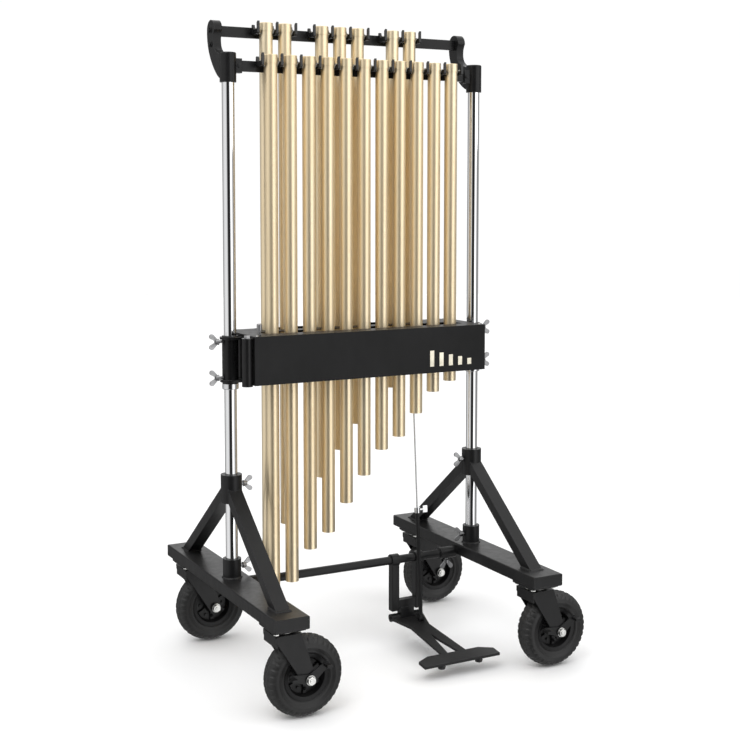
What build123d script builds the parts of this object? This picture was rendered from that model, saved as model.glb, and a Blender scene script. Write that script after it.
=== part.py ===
from build123d import *
import os

os.makedirs("parts", exist_ok=True)

# A set of orchestral chimes on a wheeled stand, in millimetres.
# X runs along the rows to the low notes' right, -Y is the player's side, Z is up.
# The origin is on the floor, midway between the two posts.

# ---- Tubes -----------------------------------------------------------------
longest_tube = 1585.0
tube_exponent = 1.05
tube_d = 38.0
tube_wall = 1.6
cap_lip = 1.2
cap_height = 24.0
cap_roof = 3.0
tube_pitch = 58.4
first_tube_x = -286.0
cord_hole_drop = 34.0
notch_drop = 17.0
cord_hole_d = 8.0
naturals = [("c4", 0), ("d4", 2), ("e4", 4), ("f4", 5), ("g4", 7), ("a4", 9)]
naturals += [("b4", 11), ("c5", 12), ("d5", 14), ("e5", 16), ("f5", 17)]
sharps = [("cs4", 1, 0.5), ("ds4", 3, 1.5), ("fs4", 6, 3.5), ("gs4", 8, 4.5)]
sharps += [("as4", 10, 5.5), ("cs5", 13, 7.5), ("ds5", 15, 8.5)]

# ---- Posts, rails and top brackets ------------------------------------------
post_spacing = 798.0
post_d = 35.0
post_wall = 2.0
rail_height = 30.0
rail_thickness = 10.0
front_rail_top = 1737.0
rear_rail_top = 1841.0
rear_rail_y = 98.0
rail_to_tube = 33.0
socket_wall = 5.5
socket_bottom = 1676.0
socket_height = 82.0
socket_roof = 8.0
bracket_width = 24.0
bracket_head_r = 28.0
lug_length = 15.0
slip = 0.3

# ---- Hooks and cords ----------------------------------------------------------
hook_width = 7.0
hook_reach = 44.0
hook_base_height = 14.0
prong_thickness = 6.0
prong_height = 22.0
cord_d = 3.0
cord_stagger = 2.2
cap_top_above_front_rail = 17.0
cap_top_above_rear_rail = 12.0

# ---- Feet, A-frames and crossbar ----------------------------------------------
foot_length = 822.0
foot_width = 98.0
foot_height = 35.0
foot_wall = 3.0
foot_plug = 6.0
collar_wall = 12.5
collar_above_foot = 216.0
collar_height = 80.0
lower_socket_wall = 8.5
lower_socket_height = 55.0
brace_width = 40.0
brace_depth = 30.0
brace_wall = 3.0
brace_setback = 81.0
brace_top_above_foot = 257.0
weld_size = 4.0
crossbar_d = 25.0
crossbar_y = 21.0
crossbar_lift = 7.0
coupling_d = 35.0
coupling_length = 54.0

# ---- Casters -------------------------------------------------------------------
wheel_d = 220.0
tyre_width = 64.0
tyre_wall = 5.0
tyre_clearance = 12.0
rim_d = 116.0
rim_width = 46.0
hub_d = 44.0
hub_length = 70.0
axle_d = 12.0
caster_trail = 58.0
front_caster_setback = 64.0
rear_caster_setback = 84.0
fork_gap = 76.0
fork_plate = 5.0
crown_length = 76.0
crown_drop = 16.0
leg_tip_r = 19.0
caster_plate = 6.0
caster_plate_x = 92.0
caster_plate_y = 104.0
race_d = 58.0
kingpin_d = 14.0
plate_bolt_x = 70.0
plate_bolt_y = 80.0
plate_bolt_d = 8.0
running_gap = 0.05
brake_thickness = 4.0
brake_reach = 58.0
nut_across = 20.0

# ---- Damper box ------------------------------------------------------------------
box_to_post = 9.5
box_front_y = -112.0
box_rear_y = 98.0
box_bottom = 846.0
box_height = 135.0
sheet = 2.0
slot_margin_x = 11.0
slot_front_gap = 6.0
slot_rear_gap = 12.0
sleeve_wall = 5.5
sleeve_bottom = 843.0
flange_thickness = 7.0
flange_lip = 11.5
ring_wall = 5.5
ring_height = 17.0
column_d = 30.0
column_y = -92.0
knob_inset_x = 30.0
knob_inset_y = 38.0
felt_thickness = 8.0
felt_height = 26.0
felt_gap = 0.5
damper_bar = 4.0
damper_z = 905.0

# ---- Pedal and rod -----------------------------------------------------------------
leg_size = 25.0
leg_centre_x = 178.0
leg_spacing = 82.0
leg_bottom = 104.0
pivot_z = 81.0
pivot_d = 10.0
boss_d = 24.0
boss_length = 30.0
clevis_width = 46.0
pedal_slope = 6.2
pedal_thickness = 8.0
tread_width = 250.0
tread_depth = 56.0
tread_reach = 334.0
tread_taper = 20.0
tread_taper_run = 40.0
stop_d = 20.0
stop_height = 14.0
rod_x = 197.0
rod_foot_y = -38.0
rod_tilt = 4.16
rod_foot_z = 96.0
push_tube_d = 12.0
push_tube_bore = 7.0
push_tube_length = 312.0
pull_rod_d = 5.0
pull_rod_start = 200.0
pull_rod_length = 585.0

# ---- Worked out from the above --------------------------------------------------------
post_x = post_spacing / 2
cap_d = tube_d + 2 * cap_lip
socket_d = post_d + 2 * socket_wall
collar_d = post_d + 2 * collar_wall
lower_socket_d = post_d + 2 * lower_socket_wall
sleeve_d = post_d + 2 * sleeve_wall
flange_width = post_d + 2 * flange_lip
ring_d = post_d + 2 * ring_wall
box_half_width = post_x - post_d / 2 - box_to_post
foot_bottom = wheel_d + tyre_clearance + fork_plate + crown_drop
foot_top = foot_bottom + foot_height
collar_bottom = foot_top + collar_above_foot
brace_top_z = foot_top + brace_top_above_foot
brace_foot_y = foot_length / 2 - brace_setback
crossbar_z = foot_bottom + crossbar_lift
front_caster_y = foot_length / 2 - front_caster_setback
rear_caster_y = foot_length / 2 - rear_caster_setback
front_tube_y = -rail_to_tube
rear_tube_y = rear_rail_y - rail_to_tube
front_cap_top = front_rail_top + cap_top_above_front_rail
rear_cap_top = rear_rail_top + cap_top_above_rear_rail
wheel_r = wheel_d / 2
plate_bottom = foot_bottom - caster_plate
crown_top = foot_bottom - crown_drop
crown_bottom = crown_top - fork_plate
fork_half = fork_gap / 2
box_top = box_bottom + box_height
wing_bolt_d = 8.0


def save(piece, name):
    """Label a finished piece and write it as its own STEP file."""
    piece.part.label = name
    export_step(piece.part, f"parts/{name}.step")


def axis_plane(origin, direction, across=(0, 0, 1)):
    """A plane at origin that looks along direction."""
    return Plane(origin=origin, x_dir=across, z_dir=direction)


def wing_bolt(origin, direction, depth, across=(0, 0, 1)):
    """A wing bolt: its shank goes depth into the work, its wings stand outside."""
    plane = axis_plane(origin, direction, across)
    wings = Plane(origin=plane.origin, x_dir=plane.x_dir, z_dir=plane.y_dir)
    reach = 1 if wings.y_dir.dot(plane.z_dir) > 0 else -1
    with BuildPart() as bolt:
        with BuildSketch(plane.offset(-depth)):
            Circle(wing_bolt_d / 2)
        extrude(amount=depth + 12)
        with BuildSketch(plane.offset(6)):
            Circle(9)
        extrude(amount=10, taper=12)
        for side in (-1, 1):
            with BuildSketch(wings):
                with Locations((side * 4, reach * 12)):
                    Circle(4)
                with Locations((side * 15, reach * 26)):
                    Circle(7)
                make_hull()
            extrude(amount=2.2, both=True)
    return bolt.part


# ---- Chime tubes -------------------------------------------------------------------------
def tube_length(semitone):
    return longest_tube * 2 ** (-tube_exponent * semitone / 24)


def make_chime(semitone, x, y, cap_top):
    """A capped brass tube with a cord hole right through its upper end."""
    tube_bottom = cap_top - tube_length(semitone)
    tube_top = cap_top - cap_roof
    with BuildPart() as chime:
        with BuildSketch(Plane.XY.offset(tube_bottom)):
            with Locations((x, y)):
                Circle(tube_d / 2)
                Circle(tube_d / 2 - tube_wall, mode=Mode.SUBTRACT)
        extrude(amount=tube_top - tube_bottom)
        with BuildSketch(Plane.XY.offset(cap_top - cap_height)):
            with Locations((x, y)):
                Circle(cap_d / 2)
                Circle(tube_d / 2 - tube_wall / 2, mode=Mode.SUBTRACT)
        extrude(amount=cap_height - cap_roof)
        with BuildSketch(Plane.XY.offset(tube_top)):
            with Locations((x, y)):
                Circle(cap_d / 2)
        extrude(amount=cap_roof)
        chamfer(chime.edges().filter_by(GeomType.CIRCLE).group_by(Axis.Z)[-1], 1.2)
        with BuildSketch(Plane.YZ.offset(x - cap_d)):
            with Locations((y, cap_top - cord_hole_drop)):
                Circle(cord_hole_d / 2)
        extrude(amount=2 * cap_d, mode=Mode.SUBTRACT)
    return chime


for note, semitone in naturals:
    place = [name for name, _ in naturals].index(note)
    save(make_chime(semitone, first_tube_x + place * tube_pitch, front_tube_y, front_cap_top), f"chime_{note}")

for note, semitone, place in sharps:
    save(make_chime(semitone, first_tube_x + place * tube_pitch, rear_tube_y, rear_cap_top), f"chime_{note}")


# ---- Posts ----------------------------------------------------------------------------------
post_top = socket_bottom + socket_height - socket_roof
for name, side in (("left_post", -1), ("right_post", 1)):
    with BuildPart() as post:
        with BuildSketch(Plane.XY.offset(foot_top)):
            with Locations((side * post_x, 0)):
                Circle(post_d / 2)
                Circle(post_d / 2 - post_wall, mode=Mode.SUBTRACT)
        extrude(amount=post_top - foot_top)
    save(post, name)


# ---- Top brackets: a socket on the post and a curved arm back to the rear rail ---------------
arm_inner_x = post_x - bracket_width / 2
rail_z = rear_rail_top - rail_height / 2 + 2
lug_start = post_x - socket_d / 2 - lug_length

for name, side in (("left_bracket", -1), ("right_bracket", 1)):
    with BuildPart() as bracket:
        with BuildSketch(Plane.XY.offset(socket_bottom)):
            with Locations((side * post_x, 0)):
                Circle(socket_d / 2)
        extrude(amount=socket_height)
        fillet(bracket.edges().filter_by(GeomType.CIRCLE).group_by(Axis.Z)[-1], 4)
        with BuildSketch(Plane.YZ.offset(side * post_x)):
            with BuildLine():
                l1 = Line((0, socket_bottom + 6), (0, socket_bottom + socket_height - 10))
                l2 = Spline(
                    l1 @ 1,
                    (40, socket_bottom + 82),
                    (74, rail_z - 50),
                    (rear_rail_y - 19, rail_z - 20),
                    (rear_rail_y - bracket_head_r, rail_z),
                )
                l3 = ThreePointArc(
                    l2 @ 1,
                    (rear_rail_y, rail_z + bracket_head_r),
                    (rear_rail_y + bracket_head_r, rail_z),
                )
                l4 = Spline(
                    l3 @ 1,
                    (rear_rail_y + 20, rail_z - 48),
                    (76, socket_bottom + 44),
                    (34, socket_bottom + 14),
                    l1 @ 0,
                )
            make_face()
        extrude(amount=bracket_width / 2, both=True)
        with BuildSketch(Plane.XZ):
            with Locations((side * (lug_start + post_x) / 2, front_rail_top - rail_height / 2)):
                Rectangle(post_x - lug_start, rail_height + 10)
        extrude(amount=rail_thickness / 2 + 5, both=True)
        with BuildSketch(Plane.XY.offset(socket_bottom)):
            with Locations((side * post_x, 0)):
                Circle(post_d / 2)
        extrude(amount=socket_height - socket_roof, mode=Mode.SUBTRACT)
        for y, z in ((rear_rail_y, rail_z), (rear_rail_y - 4, rail_z - 40)):
            with BuildSketch(Plane.YZ.offset(side * (post_x + bracket_width / 2))):
                with Locations((y + 6, z)):
                    RegularPolygon(8, 6)
            extrude(amount=side * 5)
        with BuildSketch(Plane.XZ.offset(rail_thickness / 2 + 5)):
            with Locations((side * (lug_start + lug_length / 2), front_rail_top - rail_height / 2)):
                RegularPolygon(6, 6)
        extrude(amount=4)
    save(bracket, name)


# ---- Rails -----------------------------------------------------------------------------------
rails = (
    ("front_rail", 0.0, front_rail_top, lug_start),
    ("rear_rail", rear_rail_y, rear_rail_top, arm_inner_x),
)
for name, y, top, half_length in rails:
    with BuildPart() as rail:
        with BuildSketch(Plane.XY.offset(top - rail_height)):
            with Locations((0, y)):
                Rectangle(2 * half_length, rail_thickness)
        extrude(amount=rail_height)
        chamfer(rail.edges().filter_by(Axis.X), 1)
    save(rail, name)


# ---- Hooks: a base on the rail's face, an upright prong and a leaning prong --------------------
front_hooks = [place - 0.5 for place in range(len(naturals) + 1)]
rear_hooks = [0, 1, 2, 3, 4, 5, 6, 7, 8, 9]
rows = (
    (front_hooks, rail_thickness / 2, front_cap_top),
    (rear_hooks, rail_thickness / 2, rear_cap_top),
)
row_y = (0.0, rear_rail_y)


def notch_z(cap_top):
    return cap_top - notch_drop


with BuildPart() as hooks:
    for (places, half_rail, cap_top), y in zip(rows, row_y):
        base_top = notch_z(cap_top) - cord_d / 2 - 0.2
        rail_face = y - half_rail
        tip_y = rail_face - hook_reach
        for place in places:
            x = first_tube_x + place * tube_pitch
            with BuildSketch(Plane.YZ.offset(x)):
                with BuildLine():
                    Polyline(
                        (rail_face, base_top - hook_base_height),
                        (rail_face, base_top),
                        (rail_face - 2, base_top + prong_height - 8),
                        (rail_face - 8, base_top + prong_height - 8),
                        (rail_face - 14, base_top),
                        (tip_y + prong_thickness, base_top),
                        (tip_y + prong_thickness, base_top + prong_height - 5),
                        (tip_y, base_top + prong_height),
                        (tip_y, base_top - hook_base_height + 4),
                        (tip_y + 4, base_top - hook_base_height),
                        close=True,
                    )
                make_face()
            extrude(amount=hook_width / 2, both=True)
save(hooks, "hooks")


# ---- Cords: one through each tube, up to the notch on either side ------------------------------
def cord_path(x, y, cap_top):
    hole = cap_top - cord_hole_drop
    high = notch_z(cap_top)
    half = tube_pitch / 2
    over = hook_width / 2 + 1
    knee = tube_d / 2 + 1.5
    return [
        (x - half - over, y - cord_stagger, high),
        (x - half + over, y - cord_stagger, high),
        (x - knee, y, hole),
        (x + knee, y, hole),
        (x + half - over, y + cord_stagger, high),
        (x + half + over, y + cord_stagger, high),
    ]


hung = [(first_tube_x + i * tube_pitch, front_tube_y, front_cap_top) for i in range(len(naturals))]
hung += [(first_tube_x + place * tube_pitch, rear_tube_y, rear_cap_top) for _, _, place in sharps]
with BuildPart() as cords:
    for x, y, cap_top in hung:
        points = cord_path(x, y, cap_top)
        with BuildLine() as route:
            FilletPolyline(*points, radius=2.0)
        with BuildSketch(Plane(origin=points[0], x_dir=(0, 1, 0), z_dir=(1, 0, 0))):
            Circle(cord_d / 2)
        sweep(path=route.wires()[0])
save(cords, "cords")


# ---- Feet: box beams with plugged ends, drilled for the caster bolts ----------------------------
caster_spots = [
    ("front_left", -post_x, -front_caster_y),
    ("front_right", post_x, -front_caster_y),
    ("rear_left", -post_x, rear_caster_y),
    ("rear_right", post_x, rear_caster_y),
]

for name, side in (("left_foot", -1), ("right_foot", 1)):
    with BuildPart() as foot:
        with BuildSketch(Plane.XZ.offset(-foot_length / 2)):
            with Locations((side * post_x, foot_bottom + foot_height / 2)):
                RectangleRounded(foot_width, foot_height, 4)
                RectangleRounded(foot_width - 2 * foot_wall, foot_height - 2 * foot_wall, 2, mode=Mode.SUBTRACT)
        extrude(amount=foot_length)
        with BuildSketch(Plane.XY.offset(foot_bottom)):
            for _, x, y in caster_spots:
                if x * side > 0:
                    with Locations((x, y)):
                        with GridLocations(plate_bolt_x, plate_bolt_y, 2, 2):
                            Circle(plate_bolt_d / 2 + slip)
        extrude(amount=foot_wall, mode=Mode.SUBTRACT)
        for end in (-1, 1):
            with BuildSketch(Plane.XZ.offset(end * (foot_length / 2 - foot_plug))):
                with Locations((side * post_x, foot_bottom + foot_height / 2)):
                    RectangleRounded(foot_width - 2 * foot_wall, foot_height - 2 * foot_wall, 2)
            extrude(amount=end * (foot_plug - 0.5))
    save(foot, name)


# ---- A-frames: a collar on the post, two braces down to the foot and a lower socket --------------
brace_run = brace_foot_y
brace_rise = brace_top_z - foot_top
brace_reach = (brace_run ** 2 + brace_rise ** 2) ** 0.5

for name, side in (("left_aframe", -1), ("right_aframe", 1)):
    with BuildPart() as aframe:
        for end in (-1, 1):
            down = (0, end * brace_run / brace_reach, -brace_rise / brace_reach)
            with BuildSketch(Plane(origin=(side * post_x, 0, brace_top_z), x_dir=(1, 0, 0), z_dir=down)):
                Rectangle(brace_width, brace_depth)
                Rectangle(brace_width - 2 * brace_wall, brace_depth - 2 * brace_wall, mode=Mode.SUBTRACT)
            extrude(amount=brace_reach + brace_depth)
        with BuildSketch(Plane.XY.offset(foot_top)):
            with Locations((side * post_x, 0)):
                Rectangle(2 * foot_width, 2 * foot_length)
        extrude(amount=-foot_height - brace_depth, mode=Mode.SUBTRACT)
        with BuildSketch(Plane.XY.offset(collar_bottom)):
            with Locations((side * post_x, 0)):
                Circle(collar_d / 2)
        extrude(amount=collar_height)
        with BuildSketch(Plane.XY.offset(foot_top)):
            with Locations((side * post_x, 0)):
                Circle(lower_socket_d / 2)
        extrude(amount=lower_socket_height)
        with BuildSketch(Plane.XY.offset(foot_top)):
            with Locations((side * post_x, 0)):
                Circle(lower_socket_d / 2 + weld_size)
        extrude(amount=weld_size, taper=45)
        for end in (-1, 1):
            with BuildSketch(Plane.XY.offset(foot_top)):
                with Locations((side * post_x, end * (brace_foot_y))):
                    Rectangle(brace_width + 2 * weld_size, brace_depth * brace_reach / brace_rise + 2 * weld_size)
            extrude(amount=weld_size, taper=45)
        with BuildSketch(Plane.XY.offset(foot_top)):
            with Locations((side * post_x, 0)):
                Circle(post_d / 2 + slip)
        extrude(amount=collar_bottom + collar_height - foot_top, mode=Mode.SUBTRACT)
        for z in (foot_top + 0.55 * lower_socket_height, collar_bottom + 0.62 * collar_height):
            with BuildSketch(Plane.YZ.offset(side * post_x)):
                with Locations((0, z)):
                    Circle(wing_bolt_d / 2)
            extrude(amount=-side * collar_d, mode=Mode.SUBTRACT)
    save(aframe, name)


# ---- Crossbar with its two couplings ---------------------------------------------------------------
crossbar_half = post_x - foot_width / 2
with BuildPart() as crossbar:
    with BuildSketch(Plane.YZ.offset(-crossbar_half)):
        with Locations((crossbar_y, crossbar_z)):
            Circle(crossbar_d / 2)
    extrude(amount=2 * crossbar_half)
    for side in (-1, 1):
        with BuildSketch(Plane.YZ.offset(side * crossbar_half)):
            with Locations((crossbar_y, crossbar_z)):
                Circle(coupling_d / 2)
        extrude(amount=-side * coupling_length)
    with BuildSketch(Plane.XY.offset(crossbar_z - coupling_d / 2)):
        with Locations((crossbar_half - coupling_length / 2, crossbar_y)):
            Circle(wing_bolt_d / 2)
    extrude(amount=coupling_d / 2 - crossbar_d / 2, mode=Mode.SUBTRACT)
save(crossbar, "crossbar")


# ---- Wing bolts of the stand --------------------------------------------------------------------------
bolts = [
    wing_bolt(
        (crossbar_half - coupling_length / 2, crossbar_y, crossbar_z - coupling_d / 2),
        (0, 0, -1),
        (coupling_d - crossbar_d) / 2,
        across=(1, 0, 0),
    )
]
for side in (-1, 1):
    for z, d in (
        (foot_top + 0.55 * lower_socket_height, lower_socket_d),
        (collar_bottom + 0.62 * collar_height, collar_d),
    ):
        depth = (d - post_d) / 2 - slip - 0.2
        bolts.append(wing_bolt((side * (post_x - d / 2), 0, z), (-side, 0, 0), depth))
with BuildPart() as clamp_bolts:
    for bolt in bolts:
        add(bolt)
save(clamp_bolts, "clamp_wing_bolts")


# ---- Caster top plates, with the upper half of each swivel race ------------------------------------------
race_split = crown_top + 4.0
with BuildPart() as caster_plates:
    for _, x, y in caster_spots:
        with BuildSketch(Plane.XY.offset(plate_bottom)):
            with Locations((x, y)):
                RectangleRounded(caster_plate_x, caster_plate_y, 6)
                with GridLocations(plate_bolt_x, plate_bolt_y, 2, 2):
                    Circle(plate_bolt_d / 2 + slip, mode=Mode.SUBTRACT)
        extrude(amount=caster_plate)
        with BuildSketch(Plane.XY.offset(race_split + slip)):
            with Locations((x, y)):
                Circle(race_d / 2)
        extrude(amount=plate_bottom - race_split - slip)
        with BuildSketch(Plane.XY.offset(crown_bottom - 6)):
            with Locations((x, y)):
                Circle(kingpin_d / 2)
        extrude(amount=plate_bottom - crown_bottom + 6)
save(caster_plates, "caster_plates")

with BuildPart() as caster_bolts:
    for _, x, y in caster_spots:
        with BuildSketch(Plane.XY.offset(plate_bottom - 5)):
            with Locations((x, y)):
                with GridLocations(plate_bolt_x, plate_bolt_y, 2, 2):
                    RegularPolygon(7.5, 6)
        extrude(amount=5)
        with BuildSketch(Plane.XY.offset(plate_bottom)):
            with Locations((x, y)):
                with GridLocations(plate_bolt_x, plate_bolt_y, 2, 2):
                    Circle(plate_bolt_d / 2)
        extrude(amount=caster_plate + foot_wall + 5)
save(caster_bolts, "caster_bolts")


# ---- Forks, rims and tyres ------------------------------------------------------------------------------
def make_fork(x, y):
    """A bent-plate fork that trails its wheel towards +X, with the axle bolt."""
    wheel_x = x + caster_trail
    with BuildPart() as fork:
        with BuildSketch(Plane.XY.offset(crown_bottom)):
            with Locations((x, y)):
                RectangleRounded(crown_length, fork_gap + 2 * fork_plate, 5)
        extrude(amount=fork_plate)
        with BuildSketch(Plane.XY.offset(crown_top)):
            with Locations((x, y)):
                Circle(race_d / 2 + 3)
        extrude(amount=race_split - crown_top)
        with BuildSketch(Plane.XY.offset(crown_bottom)):
            with Locations((x, y)):
                Circle(kingpin_d / 2 + running_gap)
        extrude(amount=race_split - crown_bottom, mode=Mode.SUBTRACT)
        for side in (-1, 1):
            with BuildSketch(Plane.XZ.offset(-(y + side * (fork_half + fork_plate / 2)))):
                with Locations((wheel_x, wheel_r)):
                    Circle(leg_tip_r)
                with Locations((x, crown_bottom - 4)):
                    Rectangle(crown_length - 4, 12)
                make_hull()
            extrude(amount=fork_plate / 2, both=True)
        with BuildSketch(Plane.XY.offset(crown_bottom - 26)):
            with Locations((x - crown_length / 2 + fork_plate, y)):
                Rectangle(fork_plate, fork_gap + fork_plate)
        extrude(amount=26)
        with BuildSketch(Plane.XZ.offset(-(y - fork_half - fork_plate))):
            with Locations((wheel_x, wheel_r)):
                Circle(axle_d / 2)
        extrude(amount=-(fork_gap + 2 * fork_plate))
        for side in (-1, 1):
            with BuildSketch(Plane.XZ.offset(-(y + side * (fork_half + fork_plate)))):
                with Locations((wheel_x, wheel_r)):
                    Circle(axle_d / 2)
            extrude(amount=-side * 16)
            with BuildSketch(Plane.XZ.offset(-(y + side * (fork_half + fork_plate + 6)))):
                with Locations((wheel_x, wheel_r)):
                    RegularPolygon(nut_across / 2, 6, major_radius=False)
            extrude(amount=-side * 8)
    return fork


def make_rim(x, y):
    """A pressed steel rim on a hub, bored for the axle."""
    wheel_x = x + caster_trail
    with BuildPart() as rim:
        with BuildSketch(Plane(origin=(wheel_x, y, wheel_r), x_dir=(0, 1, 0), z_dir=(1, 0, 0))):
            with BuildLine():
                Polyline(
                    (-hub_length / 2, axle_d / 2 + running_gap),
                    (-hub_length / 2, hub_d / 2 - 6),
                    (-rim_width / 2 + 8, hub_d / 2),
                    (-4, hub_d / 2 + 2),
                    (-4, rim_d / 2 - 10),
                    (-rim_width / 2, rim_d / 2 - 5),
                    (-rim_width / 2 - 2, rim_d / 2 + 5),
                    (-rim_width / 2 + 1.5, rim_d / 2 + 5),
                    (-rim_width / 2 + 3, rim_d / 2),
                    (rim_width / 2 - 3, rim_d / 2),
                    (rim_width / 2 - 1.5, rim_d / 2 + 5),
                    (rim_width / 2 + 2, rim_d / 2 + 5),
                    (rim_width / 2, rim_d / 2 - 5),
                    (4, rim_d / 2 - 10),
                    (4, hub_d / 2 + 2),
                    (rim_width / 2 - 8, hub_d / 2),
                    (hub_length / 2, hub_d / 2 - 6),
                    (hub_length / 2, axle_d / 2 + running_gap),
                    close=True,
                )
            make_face()
        revolve(axis=Axis((wheel_x, y, wheel_r), (0, 1, 0)))
    return rim


def make_tyre(x, y):
    """A tyre carcass, open to the rim, with three grooves round the tread."""
    wheel_x = x + caster_trail
    seat = rim_d / 2
    side_height = wheel_r - seat
    with BuildPart() as tyre:
        with BuildSketch(Plane(origin=(wheel_x, y, wheel_r), x_dir=(0, 1, 0), z_dir=(1, 0, 0))):
            with Locations((0, seat + side_height / 2 - 2)):
                Ellipse(tyre_width / 2, side_height / 2 + 2)
            with Locations((0, seat + side_height / 2 - 2)):
                Ellipse(tyre_width / 2 - tyre_wall, side_height / 2 + 2 - tyre_wall, mode=Mode.SUBTRACT)
            with Locations((0, seat - side_height / 2)):
                Rectangle(tyre_width, side_height, mode=Mode.SUBTRACT)
            for bead in (-1, 1):
                with Locations((bead * (rim_width / 2 + 3.4), seat)):
                    Rectangle(14, 14, mode=Mode.SUBTRACT)
            for groove in (-12, 0, 12):
                with Locations((groove, wheel_r - abs(groove) * 0.17)):
                    Rectangle(3, 6, mode=Mode.SUBTRACT)
        revolve(axis=Axis((wheel_x, y, wheel_r), (0, 1, 0)))
    return tyre


for spot, x, y in caster_spots:
    save(make_fork(x, y), f"{spot}_fork")
    save(make_rim(x, y), f"{spot}_rim")
    save(make_tyre(x, y), f"{spot}_tyre")


# ---- Brake levers: rockers on the front forks' axle bolts -------------------------------------------------
for spot, x, y in caster_spots[:2]:
    wheel_x = x + caster_trail
    face = y - fork_half - fork_plate - 0.5
    with BuildPart() as lever:
        with BuildSketch(Plane.XZ.offset(-face)):
            with Locations((wheel_x, wheel_r)):
                Circle(14)
            with Locations((wheel_x + brake_reach * 0.8, wheel_r + brake_reach * 0.6)):
                Circle(8)
            make_hull()
        extrude(amount=brake_thickness)
        with BuildSketch(Plane.XZ.offset(-face)):
            with Locations((wheel_x, wheel_r)):
                Circle(14)
            with Locations((wheel_x - brake_reach * 0.9, wheel_r + brake_reach * 0.2)):
                Circle(8)
            make_hull()
        extrude(amount=brake_thickness)
        for dx, dz in ((0.8, 0.6), (-0.9, 0.2)):
            with BuildSketch(Plane.XZ.offset(-face + brake_thickness)):
                with Locations((wheel_x + brake_reach * dx, wheel_r + brake_reach * dz)):
                    RectangleRounded(16, 8, 2)
            extrude(amount=22)
        with BuildSketch(Plane.XZ.offset(-face)):
            with Locations((wheel_x, wheel_r)):
                Circle(axle_d / 2 + slip)
        extrude(amount=brake_thickness, mode=Mode.SUBTRACT)
    save(lever, f"{spot}_brake")


# ---- Damper box ----------------------------------------------------------------------------------------------
for name, y, direction in (("box_front", box_front_y, 1), ("box_rear", box_rear_y, -1)):
    with BuildPart() as panel:
        with BuildSketch(Plane.XZ.offset(-y)):
            with Locations((0, box_bottom + box_height / 2)):
                Rectangle(2 * box_half_width, box_height)
        extrude(amount=direction * sheet)
    save(panel, name)

front_slot = (first_tube_x, first_tube_x + 10 * tube_pitch, front_tube_y)
rear_slot = (first_tube_x + 0.5 * tube_pitch, first_tube_x + 8.5 * tube_pitch, rear_tube_y)
with BuildPart() as deck:
    with BuildSketch(Plane.XY.offset(box_top - sheet)):
        with Locations((0, (box_front_y + box_rear_y) / 2)):
            Rectangle(2 * box_half_width, box_rear_y - box_front_y)
        for start, stop, y in (front_slot, rear_slot):
            slot_low = y - tube_d / 2 - slot_front_gap
            slot_high = y + tube_d / 2 + slot_rear_gap
            slot_length = stop - start + tube_d + 2 * slot_margin_x
            with Locations(((start + stop) / 2, (slot_low + slot_high) / 2)):
                Rectangle(slot_length, slot_high - slot_low, mode=Mode.SUBTRACT)
    extrude(amount=sheet)
save(deck, "box_deck")

sleeve_top = box_top - 5
with BuildPart() as ends:
    for side in (-1, 1):
        with BuildSketch(Plane.YZ.offset(side * box_half_width)):
            with Locations(((box_front_y + box_rear_y) / 2, box_bottom + (box_height - sheet) / 2)):
                Rectangle(box_rear_y - box_front_y, box_height - sheet)
        extrude(amount=-side * sheet)
        with BuildSketch(Plane.XY.offset(sleeve_bottom)):
            with Locations((side * post_x, 0)):
                Circle(sleeve_d / 2)
        extrude(amount=sleeve_top - sleeve_bottom)
        for z in (sleeve_bottom + 3, sleeve_top - flange_thickness - 3):
            with BuildSketch(Plane.XY.offset(z)):
                with Locations((side * post_x, 0)):
                    Circle(flange_width / 2)
                with Locations((side * (box_half_width + 2), 0)):
                    Rectangle(4, flange_width)
                make_hull()
            extrude(amount=flange_thickness)
        with BuildSketch(Plane.XY.offset(sleeve_bottom)):
            with Locations((side * post_x, 0)):
                Circle(post_d / 2 + slip)
        extrude(amount=sleeve_top - sleeve_bottom, mode=Mode.SUBTRACT)
        for z in (sleeve_bottom + 16, sleeve_top - 16):
            with BuildSketch(Plane.YZ.offset(side * post_x)):
                with Locations((0, z)):
                    Circle(wing_bolt_d / 2)
            extrude(amount=side * flange_width, mode=Mode.SUBTRACT)
    column_x = -box_half_width - column_d / 2 + 1
    with BuildSketch(Plane.XY.offset(sleeve_bottom)):
        with Locations((column_x, column_y)):
            Circle(column_d / 2)
    extrude(amount=sleeve_top - sleeve_bottom)
save(ends, "box_ends")

knob_x = -box_half_width + knob_inset_x
knob_y = box_front_y + knob_inset_y
bolts = []
for side in (-1, 1):
    for z in (sleeve_bottom + 16, sleeve_top - 16):
        depth = (flange_width - post_d) / 2 - slip - 0.2
        bolts.append(wing_bolt((side * (post_x + flange_width / 2), 0, z), (side, 0, 0), depth))
with BuildPart() as box_fittings:
    for bolt in bolts:
        add(bolt)
    with BuildSketch(Plane.XY.offset(sleeve_top)):
        with Locations((column_x, column_y)):
            RegularPolygon(9, 6)
    extrude(amount=7)
    with BuildSketch(Plane.XY.offset(box_top)):
        with Locations((knob_x, knob_y)):
            Circle(4)
    extrude(amount=14)
    with BuildSketch(Plane.XY.offset(box_top + 14)):
        with Locations((knob_x, knob_y)):
            Circle(7.5)
    extrude(amount=18)
    fillet(box_fittings.faces().sort_by(Axis.Z)[-1].edges(), 3)
save(box_fittings, "box_fittings")

with BuildPart() as memory_collars:
    with BuildSketch(Plane.XY.offset(sleeve_bottom - ring_height - slip)):
        with Locations((-post_x, 0), (post_x, 0)):
            Circle(ring_d / 2)
            Circle(post_d / 2, mode=Mode.SUBTRACT)
    extrude(amount=ring_height)
    chamfer(memory_collars.edges().filter_by(GeomType.CIRCLE).filter_by(lambda e: e.radius > post_d / 2 + 1), 1.5)
save(memory_collars, "memory_collars")

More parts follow.
